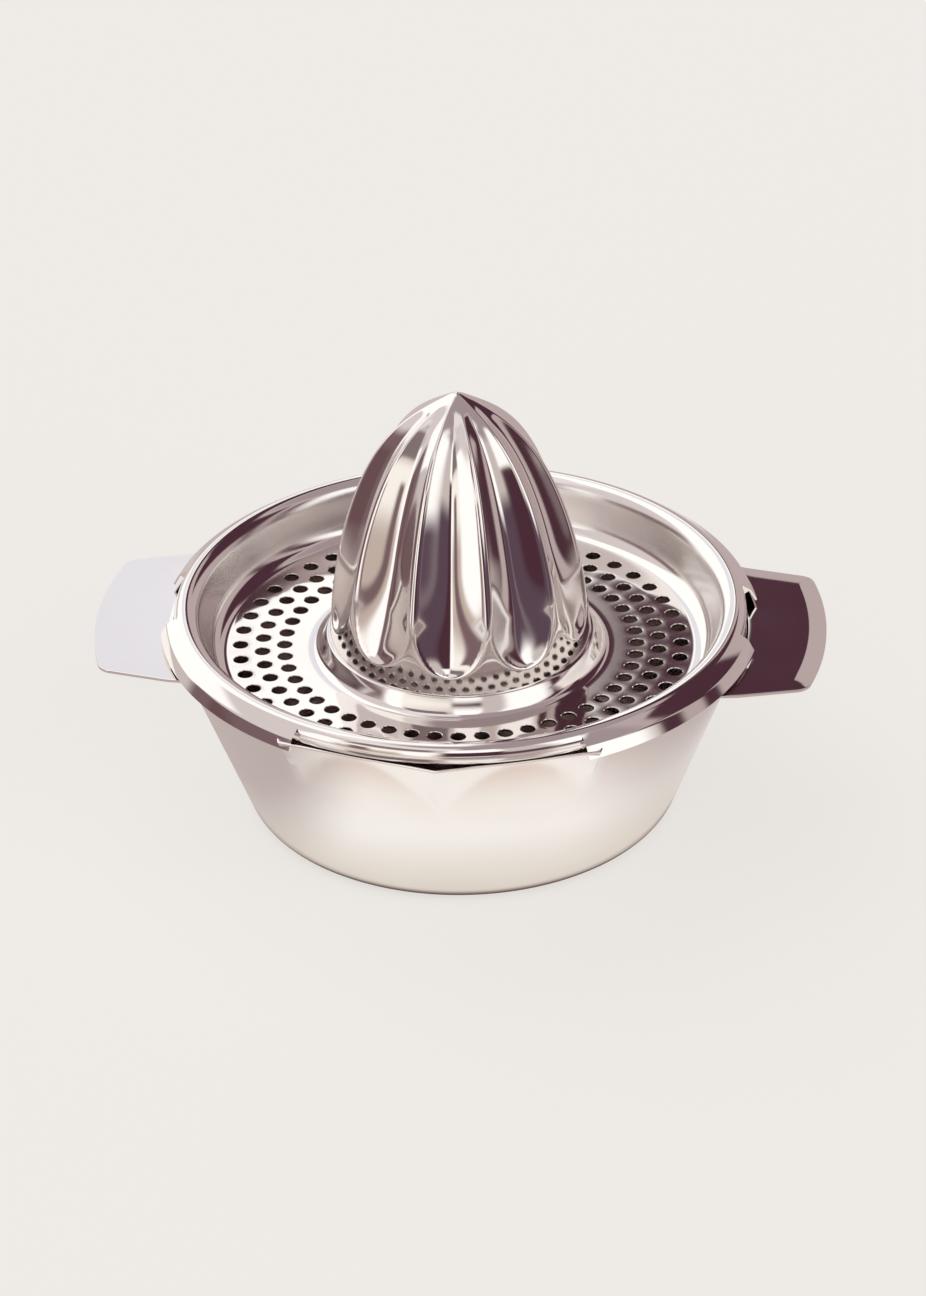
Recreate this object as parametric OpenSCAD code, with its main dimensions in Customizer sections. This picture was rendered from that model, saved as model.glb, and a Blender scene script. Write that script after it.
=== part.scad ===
// Citrus juicer of pressed sheet steel: a pouring bowl with two flat ears,
// and a perforated tray with a fluted cone that lies on the bowl's rim.
// The table is the plane z 0, the bowl's axis is Z, the beak points to -Y.

/* [Sheet] */
// Thickness of the steel sheet
sheet = 0.7; // [0.5:0.05:1]

/* [Bowl] */
// Height of the bowl's rim above the table
bowl_h = 51.3; // [44:0.1:60]
// Outer radius of the bowl at its rim
bowl_rim_r = 73.4; // [72.5:0.1:80]
// Outer radius where the wall would meet the table
bowl_base_r = 54; // [46:0.1:60]
// Outer radius of the round between wall and bottom
bowl_round = 5; // [2:0.1:9]

/* [Beak] */
// How far the beak stands out of the round rim
beak_reach = 3; // [1.5:0.1:6]
// Depth of the beak's crease below the rim
beak_depth = 18; // [10:0.1:28]

/* [Ears] */
// Radius of the ears' outer edge, from the bowl's axis
ear_r = 92.1; // [84:0.1:105]
// Width of an ear at its outer edge, before its corners are rounded
ear_tip_w = 55.2; // [36:0.1:64]
// Angle by which each side of an ear opens towards the bowl
ear_taper = 12.9; // [4:0.1:18]
// Radius of the ears' corners
ear_corner = 4.5; // [1:0.1:9]
// Depth of the ears' top face below the rim
ear_drop = 3.1; // [2.5:0.1:5]
// Height of the root lip that stands in the bowl's wall
ear_lip_h = 5; // [3.5:0.1:8]
// Radius of the bend at an ear's root
ear_bend = 1.8; // [1.2:0.1:2.5]

/* [Tray] */
// Height of the rolled rim's crown above the bowl's rim
bead_rise = 3.6; // [2.5:0.1:6]
// Width of the rolled rim
bead_w = 5.6; // [4.8:0.1:6.2]
// Radius of the rolled rim's outer shoulder
shoulder_round = 2.5; // [1.2:0.1:3.5]
// Radius of the rolled rim's inner edge
bead_round = 3.9; // [2:0.1:4.2]
// Depth of the tray's floor below the crown
tray_depth = 13.2; // [10:0.1:16]
// Slope of the tray's wall, from the level
tray_slope = 75.5; // [72:0.5:80]
// Radius of the round between the tray's wall and its floor
tray_round = 5; // [2.5:0.1:6]
// How far the seat laps over the bowl's rim
seat_lap = 1.6; // [1.2:0.1:2.5]
// How far the skirts reach past the bowl's rim
skirt_reach = 2.1; // [1.5:0.1:4]
// Drop of the skirts below the seat
skirt_drop = 1.9; // [1:0.1:2.2]
// Opening between the skirts at the beak and opposite it
beak_gap = 57.6; // [30:0.1:80]
// Opening between the skirts over each ear
ear_gap = 19.2; // [6:0.1:30]
// Width of the trimmed edge that the openings leave at the shoulder's foot
trim_w = 0.25; // [0.1:0.05:0.6]

/* [Holes] */
// Diameter of the strainer holes
hole_d = 3.8; // [2.5:0.1:4]
// Holes in each ring
hole_count = 48; // [30:1:52]
// Rings of holes
hole_rings = 3; // [1:1:3]
// Distance between the rings
ring_pitch = 5.58; // [5:0.01:5.8]
// Distance from the floor's edge to the outer ring
ring_margin = 7.1; // [6:0.1:7.5]

/* [Cone] */
// Height of the cone's tip above the tray's floor
cone_h = 71.5; // [60:0.1:85]
// Radius of the cone's body at its foot
cone_r = 31.4; // [28:0.1:33.5]
// Radius of the foot that the cone stands on
flange_r = 35.8; // [34.5:0.1:36.8]
// Height of the cone's hub above the tray's floor
hub_h = 5.1; // [3:0.1:6]
// Slope of the hub's side, from the level
hub_slope = 52; // [46:1:76]
// Height of the rounded foot between its edge and the body
foot_h = 3.5; // [2.5:0.1:6]
// Number of flutes
flutes = 10; // [6:1:14]
// Depth of the flutes at the foot
flute_depth = 5.4; // [3:0.1:8]
// Share of a half flute that the blunt ridge takes
flute_land = 0.12; // [0.04:0.01:0.3]
// Height over which a flute's lower end is scooped out
scoop_h = 7.4; // [5:0.1:14]
// Fullness of the cone's outline: lower is fuller
cone_power = 0.56; // [0.5:0.01:0.85]

/* [Fits] */
// Gap around the ears' root lips
ear_gap_fit = 0.1; // [0.05:0.01:0.3]
// Gap between the bowl's rim and the skirts
skirt_fit = 0.3; // [0.2:0.05:0.6]
// Width of the hub's ledge beyond the cone's foot
hub_margin = 0.6; // [0.4:0.1:1.5]
// Width of the seat under the cone's foot
hub_seat = 6; // [4:0.1:8]

/* [Hidden] */
$fn = 96;
steel = [0.78, 0.77, 0.76];
bright_steel = [0.86, 0.85, 0.84];
pierce = 2;

// Bowl: slope of the wall, and its outer radius at a height
wall_run = (bowl_rim_r - bowl_base_r) / bowl_h;
wall_lean = atan(wall_run);
wall_w = sheet / cos(wall_lean);
function wall_r(z) = bowl_base_r + wall_run * z;

// Ears: heights, and the line that each side follows
ear_z = bowl_h - ear_drop;
notch_z = ear_z - ear_lip_h;
ear_side_x = sqrt(ear_r * ear_r - ear_tip_w * ear_tip_w / 4);
ear_side_d = ear_side_x * sin(ear_taper) + ear_tip_w / 2 * cos(ear_taper);

// Tray: radii and heights of its pressed profile, from the rim inwards
crown_z = bowl_h + bead_rise;
seat_z = bowl_h + sheet;
floor_z = crown_z - tray_depth;
shoulder_r = bowl_rim_r - seat_lap;
skirt_flare = atan(skirt_drop / (skirt_reach - skirt_fit));
seat_r = bowl_rim_r + skirt_fit + sheet * tan(skirt_flare / 2);
skirt_r = bowl_rim_r + skirt_reach;
bead_in_r = shoulder_r - bead_w;
floor_r = bead_in_r - tray_depth / tan(tray_slope);
hub_r = flange_r + hub_margin;
hub_foot_r = hub_r + hub_h / tan(hub_slope);
hub_open_r = flange_r - hub_seat;
hub_z = floor_z + hub_h;
least_flat = 0.05;
shoulder_arc = min(shoulder_round, bead_rise - sheet - least_flat);
bead_arc = min(bead_round, (bead_w - shoulder_arc - least_flat) / tan(tray_slope / 2));
hub_arc = 1.5 * sheet;
hub_foot_arc = 2.2;

// Cone: heights along its outline
tip_z = floor_z + cone_h;
edge_z = hub_z + sheet;
body_z = edge_z + foot_h;
scoop_z = body_z + scoop_h;
flute_stops = [0, 0.45, 1 - flute_land, 1];
half_flute_steps = len(flute_stops) - 1;
columns = flutes * 2 * half_flute_steps;

function unit(v) = v / norm(v);
function left_of(p, q) = let (d = unit(q - p)) [-d[1], d[0]];
function flipped(list) = [for (i = [len(list) - 1 : -1 : 0]) list[i]];

// Arc of a given radius in the corner b between a and c
function corner(a, b, c, radius, steps = 5) =
    let (u = unit(a - b), v = unit(c - b))
    let (half = acos(u * v) / 2)
    let (centre = b + unit(u + v) * radius / sin(half))
    let (p = b + u * radius / tan(half) - centre, q = b + v * radius / tan(half) - centre)
    let (start = atan2(p[1], p[0]), turn = atan2(p[0] * q[1] - p[1] * q[0], p * q))
    [for (i = [0 : steps])
        let (angle = start + turn * i / steps)
        centre + radius * [cos(angle), sin(angle)]];

function flat(p) = [p[0], p[1]];

// Path through points [r, z, radius], each inner corner rounded by its radius
function rounded(pts) = [
    for (i = [0 : len(pts) - 1])
        each (i == 0 || i == len(pts) - 1 || pts[i][2] == 0)
            ? [flat(pts[i])]
            : corner(flat(pts[i - 1]), flat(pts[i]), flat(pts[i + 1]), pts[i][2])
];

// The same path moved sideways, to the left for a positive distance
function shifted(path, distance) = [
    for (i = [0 : len(path) - 1])
        let (before = i == 0 ? left_of(path[0], path[1]) : left_of(path[i - 1], path[i]))
        let (after = i == len(path) - 1 ? before : left_of(path[i], path[i + 1]))
        let (mid = unit(before + after))
        path[i] + mid * distance / (mid * before)
];

// Closed outline of a sheet that has the path as one face
function sheet_outline(path, thickness) = concat(path, flipped(shifted(path, thickness)));

function bowl_face() = rounded([
    [0, 0, 0],
    [bowl_base_r, 0, bowl_round],
    [bowl_rim_r, bowl_h, 0]
]);

// Solid inside a path, from the axis out to the path and up to a level
module turned(path, top) {
    last = path[len(path) - 1];
    rise = (top - last[1]) * wall_run;
    rotate_extrude()
        polygon(concat(path, [[last[0] + rise, top], [0, top]]));
}

// Two flat facets that run from the bowl's wall out to the beak's crease
module beak(rim_r, over) {
    reach = rim_r + beak_reach;
    side = acos(rim_r / reach);
    low_z = bowl_h - beak_depth;
    low = [0, -(rim_r - wall_run * beak_depth), low_z];
    grow = 1 + over / beak_depth;
    tip = low + grow * ([0, -reach, bowl_h] - low);
    right = low + grow * ([rim_r * sin(side), -rim_r * cos(side), bowl_h] - low);
    left = [-right[0], right[1], right[2]];
    polyhedron([low, tip, right, left], [[0, 1, 2], [0, 3, 1], [1, 3, 2], [0, 2, 3]]);
}

// Outline of the ear at +X, from inside the bowl to its rounded outer corners
function ear_outline(grow) =
    let (normal = 90 - ear_taper, d = ear_side_d + grow, r = ear_r + grow)
    let (along = sqrt(pow(r - ear_corner, 2) - pow(d - ear_corner, 2)))
    let (n = [cos(normal), sin(normal)])
    let (centre = (d - ear_corner) * n + along * [n[1], -n[0]])
    let (lean = atan2(centre[1], centre[0]), steps = 6, root_x = bowl_rim_r / 2)
    let (side = concat(
        [[root_x, (d - root_x * n[0]) / n[1]]],
        [for (i = [0 : steps])
            let (angle = normal + (lean - normal) * i / steps)
            centre + ear_corner * [cos(angle), sin(angle)]]))
    let (edge = [for (i = [1 : 11]) let (angle = lean * (1 - i / 6)) r * [cos(angle), sin(angle)]])
    concat(side, edge, [for (p = flipped(side)) [p[0], -p[1]]]);

// Prism over an ear's outline, from a level upwards
module ear_prism(grow, low_z, high_z) {
    translate([0, 0, low_z])
        linear_extrude(high_z - low_z)
            polygon(ear_outline(grow));
}

module juice_bowl() color(steel) {
    face = bowl_face();
    difference() {
        union() {
            turned(face, bowl_h);
            beak(bowl_rim_r, 0);
        }
        turned(shifted(face, sheet), bowl_h + pierce);
        beak(bowl_rim_r - wall_w, pierce);
        for (turn = [0, 180])
            rotate([0, 0, turn])
                ear_prism(ear_gap_fit, notch_z, bowl_h + pierce);
    }
}

// Ear at +X: a lip in line with the bowl's wall, a bend, and the flat plate
module ear() {
    inner_face = rounded([
        [wall_r(notch_z) - wall_w, notch_z, 0],
        [wall_r(ear_z) - wall_w, ear_z, ear_bend],
        [ear_r, ear_z, 0]
    ]);
    lip = shifted(inner_face, -sheet);
    foot = [wall_r(notch_z), notch_z];
    outer_face = concat([foot], [for (i = [1 : len(lip) - 1]) lip[i]]);
    intersection() {
        rotate_extrude()
            polygon(concat(inner_face, flipped(outer_face)));
        ear_prism(0, notch_z - pierce, bowl_h + pierce);
    }
}

module right_handle() color(bright_steel) ear();

module left_handle() color(bright_steel) rotate([0, 0, 180]) ear();

// Top face of the tray, from the skirts' edge over the rolled rim and the floor to the hub
function tray_face() = rounded([
    [skirt_r, seat_z - skirt_drop, 0],
    [seat_r, seat_z, 0],
    [shoulder_r, seat_z, 0],
    [shoulder_r, crown_z, shoulder_arc],
    [bead_in_r, crown_z, bead_arc],
    [floor_r, floor_z, tray_round],
    [hub_foot_r, floor_z, hub_foot_arc],
    [hub_r, hub_z, hub_arc],
    [hub_open_r, hub_z, 0]
]);

// Clears the seat and skirts over an angle centred on a direction
module skirt_gap(direction, angle) {
    rotate([0, 0, direction - angle / 2])
        rotate_extrude(angle = angle)
            translate([shoulder_r + trim_w, bowl_h - skirt_drop - sheet - pierce])
                square([skirt_r - shoulder_r + pierce, skirt_drop + 2 * sheet + 2 * pierce]);
}

// Rings of holes through the floor, each ring turned by half a step from the next
module perforation() {
    pitch = 360 / hole_count;
    translate([0, 0, floor_z - sheet - pierce])
        linear_extrude(sheet + 2 * pierce)
            for (ring = [0 : hole_rings - 1])
                for (i = [0 : hole_count - 1])
                    rotate([0, 0, (i + (ring + 1) % 2 / 2) * pitch])
                        translate([floor_r - ring_margin - ring * ring_pitch, 0])
                            circle(d = hole_d, $fn = 24);
}

module strainer_tray() color(bright_steel) {
    difference() {
        rotate_extrude()
            polygon(sheet_outline(tray_face(), sheet));
        perforation();
        for (direction = [90, 270])
            skirt_gap(direction, beak_gap);
        for (direction = [0, 180])
            skirt_gap(direction, ear_gap);
    }
}

// Radius of the cone's ridges at a height
function ridge_r(z) =
    z <= edge_z ? flange_r
    : z < body_z ? cone_r + (flange_r - cone_r) * pow(1 - pow((z - edge_z) / foot_h, 2.5), 0.4)
    : cone_r * pow(max(0, 1 - pow((z - body_z) / (tip_z - body_z), 2)), cone_power);

// Share of the full flute width at a height: none at the foot, all of it above the scoop
function scoop(z) = z <= body_z ? 0 : sqrt(1 - pow(max(0, 1 - (z - body_z) / scoop_h), 2));

// Radius of the cone at a height and a share of the half flute, 0 in its crease and 1 on the ridge
function cone_radius(z, t) =
    ridge_r(z) * (1 - flute_depth / cone_r * max(0, scoop(z) - t / (1 - flute_land)));

foot_rings = 4;
scoop_rings = 6;
body_rings = 14;
cone_levels = concat(
    [hub_z],
    [for (i = [0 : foot_rings - 1]) edge_z + foot_h * sin(90 * i / foot_rings)],
    [for (i = [0 : scoop_rings - 1]) body_z + scoop_h * pow(i / scoop_rings, 1.6)],
    [for (i = [0 : body_rings - 1]) scoop_z + (tip_z - scoop_z) * sin(90 * i / body_rings)]
);

// Place of a column between two creases, counted from the first one in half flutes
function flute_place(column) =
    let (k = column % (2 * half_flute_steps))
    k <= half_flute_steps ? flute_stops[k] : 2 - flute_stops[2 * half_flute_steps - k];

// Height of a point of the cone's inner face under its outer face
function inner_z(z, wall) = z - 1.3 * wall * min(1, (z - hub_z) / (body_z - hub_z));

// One ring of the cone, drawn in by a wall thickness
function cone_ring(z, wall) = [
    for (j = [0 : columns - 1])
        let (place = flute_place(j), flute = floor(j / (2 * half_flute_steps)))
        let (r = cone_radius(z, min(place, 2 - place)) * (1 - wall / cone_r))
        let (angle = 270 + (flute + place / 2) * 360 / flutes)
        [r * cos(angle), r * sin(angle), inner_z(z, wall)]
];

// Hollow fluted cone: outer rings, inner rings, and a point at the top of each
module reamer_cone() color(bright_steel) {
    n = len(cone_levels);
    m = columns;
    points = concat(
        [for (wall = [0, sheet]) for (z = cone_levels) each cone_ring(z, wall)],
        [for (wall = [0, sheet]) [0, 0, inner_z(tip_z, wall)]]
    );
    inner = n * m;
    outer_tip = 2 * n * m;
    inner_tip = outer_tip + 1;
    faces = [
        for (j = [0 : m - 1])
            let (k = (j + 1) % m, top = (n - 1) * m)
            each concat(
                [[j, k, inner + k], [j, inner + k, inner + j]],
                [[top + j, outer_tip, top + k], [inner + top + j, inner + top + k, inner_tip]],
                [for (i = [0 : n - 2])
                    let (a = i * m + j, b = i * m + k, c = a + m, d = b + m)
                    each [
                        [a, c, d], [a, d, b],
                        [inner + a, inner + d, inner + c], [inner + a, inner + b, inner + d]
                    ]]
            )
    ];
    polyhedron(points, faces);
}

juice_bowl();
left_handle();
right_handle();
strainer_tray();
reamer_cone();
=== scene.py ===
import math
import bmesh
import bpy
from mathutils import Matrix, Vector


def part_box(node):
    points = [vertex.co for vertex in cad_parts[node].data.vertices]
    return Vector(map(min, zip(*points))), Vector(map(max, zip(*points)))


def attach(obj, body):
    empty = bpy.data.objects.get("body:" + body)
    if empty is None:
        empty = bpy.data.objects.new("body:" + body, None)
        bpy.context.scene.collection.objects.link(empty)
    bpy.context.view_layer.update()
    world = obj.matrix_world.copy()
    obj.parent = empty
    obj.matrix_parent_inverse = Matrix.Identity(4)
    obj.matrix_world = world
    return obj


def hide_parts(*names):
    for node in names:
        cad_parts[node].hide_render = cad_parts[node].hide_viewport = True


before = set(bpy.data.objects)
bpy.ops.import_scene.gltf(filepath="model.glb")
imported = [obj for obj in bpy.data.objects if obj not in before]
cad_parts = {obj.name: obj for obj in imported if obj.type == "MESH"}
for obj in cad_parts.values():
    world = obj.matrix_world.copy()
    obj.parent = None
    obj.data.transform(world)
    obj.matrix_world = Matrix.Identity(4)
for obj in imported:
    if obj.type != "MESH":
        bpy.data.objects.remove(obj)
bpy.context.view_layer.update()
mm = 0.001  # pieces and camera are given in millimetres, meshes and the stage in metres
print("frame loaded:", sorted(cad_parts))


def nodeTop(node):
    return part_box(node)[1].z / mm


def nodeBottom(node):
    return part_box(node)[0].z / mm


def linearColour(red, green, blue):
    def toLinear(value):
        value /= 255
        return value / 12.92 if value <= 0.04045 else ((value + 0.055) / 1.055) ** 2.4
    return (toLinear(red), toLinear(green), toLinear(blue), 1.0)


# profiles: lists of (radius, height), with corners turned into arcs

def unit2(x, y):
    length = math.hypot(x, y)
    return x / length, y / length


def cornerArc(before, corner, after, radius, steps):
    ux, uy = unit2(before[0] - corner[0], before[1] - corner[1])
    vx, vy = unit2(after[0] - corner[0], after[1] - corner[1])
    half = math.acos(max(-1, min(1, ux * vx + uy * vy))) / 2
    mx, my = unit2(ux + vx, uy + vy)
    centreX = corner[0] + mx * radius / math.sin(half)
    centreY = corner[1] + my * radius / math.sin(half)
    reach = radius / math.tan(half)
    px, py = corner[0] + ux * reach - centreX, corner[1] + uy * reach - centreY
    qx, qy = corner[0] + vx * reach - centreX, corner[1] + vy * reach - centreY
    start = math.atan2(py, px)
    turn = math.atan2(px * qy - py * qx, px * qx + py * qy)
    return [(centreX + radius * math.cos(start + turn * i / steps),
             centreY + radius * math.sin(start + turn * i / steps)) for i in range(steps + 1)]


def roundedPath(points, steps):
    path = []
    for i, (r, z, radius) in enumerate(points):
        if radius == 0 or i in (0, len(points) - 1):
            path.append((r, z))
        else:
            path += cornerArc(points[i - 1], points[i], points[i + 1], radius, steps)
    return path


def shiftedPath(path, distance):
    shifted = []
    for i, (r, z) in enumerate(path):
        a, b = path[max(i - 1, 0)], path[max(i, 1)]
        c, d = path[min(i, len(path) - 2)], path[min(i + 1, len(path) - 1)]
        ax, ay = unit2(-(b[1] - a[1]), b[0] - a[0])
        bx, by = unit2(-(d[1] - c[1]), d[0] - c[0])
        mx, my = unit2(ax + bx, ay + by)
        scale = distance / (mx * ax + my * ay)
        shifted.append((r + mx * scale, z + my * scale))
    return shifted


def filledPath(path, longest):
    # extra points on straight stretches
    out = [path[0]]
    for a, b in zip(path, path[1:]):
        parts = max(1, math.ceil(math.hypot(b[0] - a[0], b[1] - a[1]) / longest))
        out += [(a[0] + (b[0] - a[0]) * i / parts, a[1] + (b[1] - a[1]) * i / parts)
                for i in range(1, parts + 1)]
    return out


def softMax(a, b, soft):
    near = max(soft - abs(a - b), 0) / soft
    return max(a, b) + near * near * soft / 4


def smoothStep(low, high, value):
    t = min(1, max(0, (value - low) / (high - low)))
    return t * t * (3 - 2 * t)


def polar(r, angle, z):
    return Vector((r * math.cos(angle), r * math.sin(angle), z)) * mm


def evenSteps(low, high, count):
    return [low + (high - low) * i / count for i in range(1, count + 1)]


def spread(stops):
    # stops: first angle, then (steps, next angle) pairs, in degrees
    angles = [stops[0]]
    for steps, nextAngle in stops[1:]:
        angles += evenSteps(angles[-1], nextAngle, steps)
    return [math.radians(a) for a in angles]


meshing = {
    "weld": 0.004,
    "bevelFrom": math.radians(50),
    "bevelSegments": 2,
}


def finishedPiece(name, bm):
    bmesh.ops.remove_doubles(bm, verts=bm.verts, dist=meshing["weld"] * mm)
    bmesh.ops.recalc_face_normals(bm, faces=bm.faces)
    mesh = bpy.data.meshes.new(name)
    bm.to_mesh(mesh)
    bm.free()
    piece = bpy.data.objects.new(name, mesh)
    bpy.context.scene.collection.objects.link(piece)
    return piece


def smoothShade(mesh, sharpAngle):
    mesh.polygons.foreach_set("use_smooth", [True] * len(mesh.polygons))
    mesh.set_sharp_from_angle(angle=sharpAngle)
    mesh.update()


def bakeModifiers(piece):
    depsgraph = bpy.context.evaluated_depsgraph_get()
    mesh = bpy.data.meshes.new_from_object(piece.evaluated_get(depsgraph))
    piece.modifiers.clear()
    old = piece.data
    piece.data = mesh
    bpy.data.meshes.remove(old)


def roundEdges(piece, width):
    bevel = piece.modifiers.new("roundEdges", "BEVEL")
    bevel.width = width * mm
    bevel.segments = meshing["bevelSegments"]
    bevel.limit_method = "ANGLE"
    bevel.angle_limit = meshing["bevelFrom"]
    bakeModifiers(piece)


def dropLooseVerts(bm):
    loose = [v for v in bm.verts if not v.link_faces]
    bmesh.ops.delete(bm, geom=loose, context="VERTS")


# steel finishes

class NodeTools:
    # builds a node tree; an input takes a number, a colour or another node's output

    def __init__(self, tree):
        self.tree = tree

    def link(self, output, socket):
        self.tree.links.new(output, socket)

    def add(self, kind, inputs=None, **properties):
        node = self.tree.nodes.new(kind)
        for name, value in properties.items():
            setattr(node, name, value)
        for name, value in (inputs or {}).items():
            if isinstance(value, bpy.types.NodeSocket):
                self.link(value, node.inputs[name])
            else:
                node.inputs[name].default_value = value
        return node

    def calc(self, operation, *values):
        return self.add("ShaderNodeMath", dict(enumerate(values)), operation=operation).outputs["Value"]

    def ramp(self, value, low, high):
        inputs = {"Value": value, "From Min": low, "From Max": high}
        return self.add("ShaderNodeMapRange", inputs, interpolation_type="SMOOTHSTEP").outputs["Result"]

    def mixed(self, factor, under, over):
        inputs = {"Factor": factor, "A": under, "B": over}
        return self.add("ShaderNodeMix", inputs, data_type="RGBA").outputs["Result"]

    def blended(self, factor, under, over):
        return self.add("ShaderNodeMixShader", {"Fac": factor, 1: under, 2: over}).outputs["Shader"]

    def objectPlace(self):
        return self.add("ShaderNodeTexCoord").outputs["Object"]

    def fromAxis(self, place):
        level = self.add("ShaderNodeVectorMath", {0: place, 1: (1, 1, 0)}, operation="MULTIPLY")
        length = self.add("ShaderNodeVectorMath", {0: level.outputs["Vector"]}, operation="LENGTH")
        return length.outputs["Value"]


def steelFinish(name, settings):
    material = bpy.data.materials.new(name)
    material.use_nodes = True
    tree = material.node_tree
    nodes = NodeTools(tree)
    shader = tree.nodes["Principled BSDF"]
    shader.inputs["Metallic"].default_value = 1.0
    place = nodes.objectPlace()

    def noise(vector, scale, detail):
        inputs = {"Vector": vector, "Scale": scale, "Detail": detail}
        return nodes.add("ShaderNodeTexNoise", inputs).outputs["Fac"]

    def stretched(scale, turn):
        inputs = {"Vector": place, "Rotation": (0, 0, math.radians(turn)), "Scale": scale}
        return nodes.add("ShaderNodeMapping", inputs).outputs["Vector"]

    # slow drift of colour, from cleaning and handling
    drift = noise(place, settings["driftScale"], settings["driftDetail"])
    tint = nodes.mixed(drift, settings["paleSteel"], settings["deepSteel"])
    nodes.link(tint, shader.inputs["Base Color"])

    # polishing lines, and fine hairline scratches in two directions
    lines = noise(stretched(settings["grainStretch"], 0), settings["grainScale"], settings["grainDetail"])
    height = lines
    for turn, share in zip(settings["scratchTurns"], settings["scratchShares"]):
        lay = stretched(settings["scratchStretch"], turn)
        marks = noise(lay, settings["scratchScale"], settings["scratchDetail"])
        kept = nodes.add("ShaderNodeMapRange", {
            "Value": marks,
            "From Min": settings["scratchFrom"],
            "From Max": settings["scratchFrom"] + settings["scratchFade"],
        })
        height = nodes.calc("MULTIPLY_ADD", kept.outputs["Result"], share, height)
    bump = nodes.add("ShaderNodeBump", {
        "Strength": settings["bumpStrength"],
        "Distance": settings["bumpDepth"] * mm,
        "Height": height,
    })
    nodes.link(bump.outputs["Normal"], shader.inputs["Normal"])

    # roughness varies with the polishing lines
    gloss = nodes.add("ShaderNodeMapRange", {
        "Value": lines,
        "To Min": settings["roughLow"],
        "To Max": settings["roughHigh"],
    })
    nodes.link(gloss.outputs["Result"], shader.inputs["Roughness"])
    return material


mirrorSteel = steelFinish("mirrorSteel", {
    "paleSteel": linearColour(240, 236, 233),
    "deepSteel": linearColour(232, 226, 222),
    "driftScale": 28.0,
    "driftDetail": 3,
    "grainStretch": (1.0, 1.0, 1.0),
    "grainScale": 60.0,
    "grainDetail": 5,
    "scratchTurns": (22, 118),
    "scratchStretch": (14.0, 900.0, 14.0),
    "scratchScale": 1.0,
    "scratchDetail": 2,
    "scratchFrom": 0.66,
    "scratchFade": 0.06,
    "scratchShares": (0.35, 0.25),
    "bumpStrength": 0.05,
    "bumpDepth": 0.05,
    "roughLow": 0.045,
    "roughHigh": 0.10,
})
satinSteel = steelFinish("satinSteel", {
    "paleSteel": linearColour(250, 247, 244),
    "deepSteel": linearColour(241, 236, 232),
    "driftScale": 30.0,
    "driftDetail": 3,
    "grainStretch": (6.0, 6.0, 700.0),
    "grainScale": 3.0,
    "grainDetail": 5,
    "scratchTurns": (8, 100),
    "scratchStretch": (12.0, 12.0, 500.0),
    "scratchScale": 1.0,
    "scratchDetail": 2,
    "scratchFrom": 0.66,
    "scratchFade": 0.06,
    "scratchShares": (0.3, 0.3),
    "bumpStrength": 0.10,
    "bumpDepth": 0.05,
    "roughLow": 0.12,
    "roughHigh": 0.20,
})
print("steel finishes ready")

# the bowl with its beak, and the notches that the ears stand in

bowl = {
    "sheet": 0.7,
    "rimZ": nodeTop("juice_bowl"),
    "rimR": 73.4,
    "baseR": 54.0,
    "bottomRound": 5.0,
    "beakReach": 3.0,
    "beakDepth": 18.0,
    "beakSoft": 0.25,
    "notchHalf": 27.55,
    "notchZ": nodeBottom("right_handle"),
    "edgeRound": 0.16,
    "sharpAngle": math.radians(40),
    # painted shade for the inside of the bowl, under the strainer
    "paintedShadeInside": linearColour(184, 166, 162),
    # mesh: columns around, shares of the flat bottom's radius, and rows up the wall
    "beakHalf": 24,
    "backColumns": 60,
    "earColumns": 26,
    "flankColumns": 22,
    "beakColumns": 72,
    "bottomShares": (0.25, 0.5, 0.75, 0.9, 1),
    "arcRows": 8,
    "waistZ": 30,
    "rowsToWaist": 12,
    "rowsToNotch": 16,
    "rowsToRim": 10,
}
beakAngle = 270  # degrees, towards -Y
wallRun = (bowl["rimR"] - bowl["baseR"]) / bowl["rimZ"]
wallLean = math.atan(wallRun)
wallW = bowl["sheet"] / math.cos(wallLean)


def wallRadius(z):
    return bowl["baseR"] + wallRun * z


def beakRadius(angle, z, inset):
    # flat facets through the crease, tangent to the round rim
    rimR = bowl["rimR"] - inset
    side = math.acos(rimR / (rimR + bowl["beakReach"]))
    lowZ = bowl["rimZ"] - bowl["beakDepth"]
    lowR = rimR - wallRun * bowl["beakDepth"]
    share = (z - lowZ) / bowl["beakDepth"]
    offset = lowR * math.cos(side) * (1 - share) + rimR * share
    away = abs(math.remainder(angle - math.radians(beakAngle), 2 * math.pi))
    if away > 2 * side:
        return 0
    return offset / math.cos(away - side)


def bowlRadius(angle, z, inset):
    return softMax(wallRadius(z) - inset, beakRadius(angle, z, inset), bowl["beakSoft"])


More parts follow.
